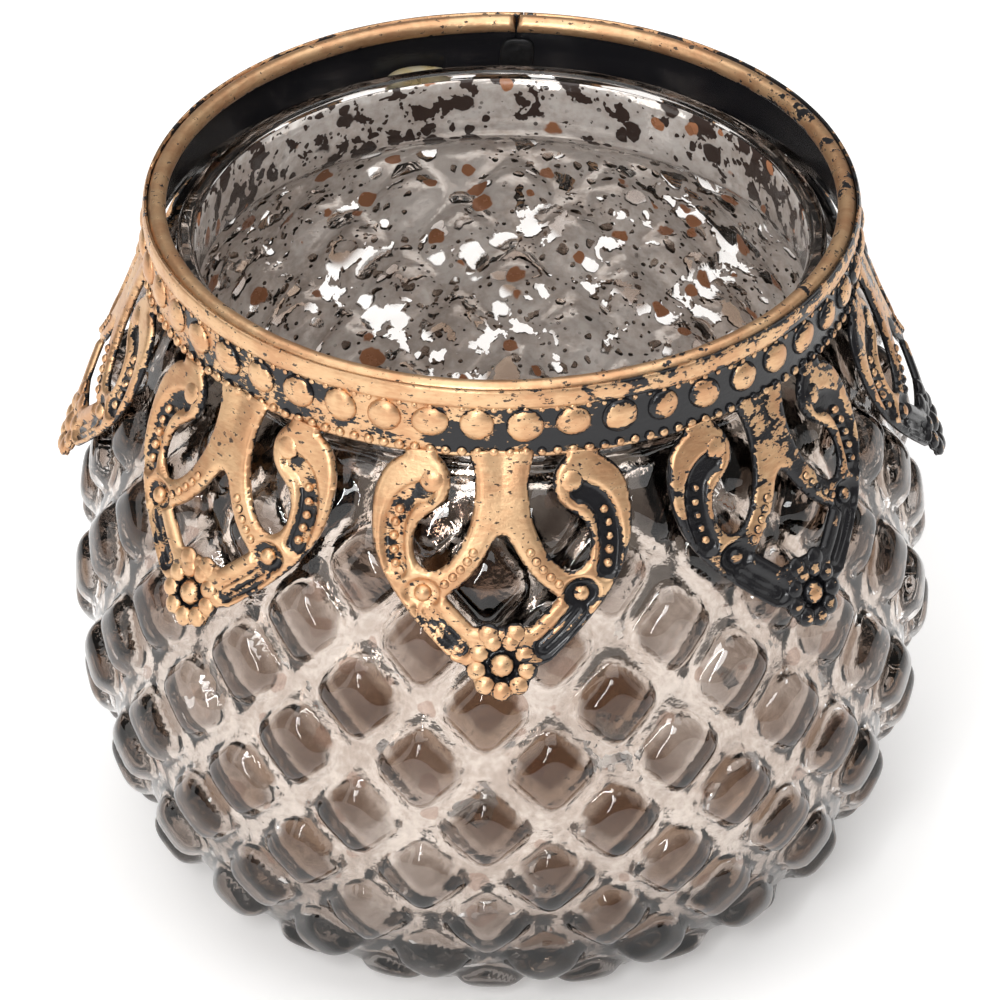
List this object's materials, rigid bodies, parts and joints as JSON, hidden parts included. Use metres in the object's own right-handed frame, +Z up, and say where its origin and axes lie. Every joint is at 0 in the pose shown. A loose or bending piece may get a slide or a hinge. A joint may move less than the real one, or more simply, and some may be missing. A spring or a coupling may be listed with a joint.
{
  "type": "tealight holder",
  "caption": "Round glass tealight holder with a bossed diamond lattice, silvered inside, and a glued antiqued metal collar with a beaded strip and pierced pendants.",
  "frame": {"origin": "centre of the foot, on the surface it stands on", "axes": "+Z up through the mouth, -Y to the front, where one pendant is centred; +X to the right"},
  "size_m": [0.092, 0.092, 0.079],
  "materials": {
    "clear_glass": "polished",
    "aged_silvering": "mottled",
    "antiqued_copper": "dry-brushed over black",
    "soft_solder": "satin",
    "clear_glue": "glossy"
  },
  "bodies": {
    "root": {"glass_bowl": "clear_glass", "silver_lining": "aged_silvering", "rim_hoop": "antiqued_copper", "beaded_band": "antiqued_copper", "pendant_1": "antiqued_copper", "pendant_2": "antiqued_copper", "pendant_3": "antiqued_copper", "pendant_4": "antiqued_copper", "pendant_5": "antiqued_copper", "pendant_6": "antiqued_copper", "pendant_7": "antiqued_copper", "pendant_8": "antiqued_copper", "hoop_seam_solder": "soft_solder", "band_solder_tacks": "soft_solder", "glue_dab_1": "clear_glue", "glue_dab_2": "clear_glue", "glue_dab_3": "clear_glue", "glue_dab_4": "clear_glue"}
  },
  "joints": []
}
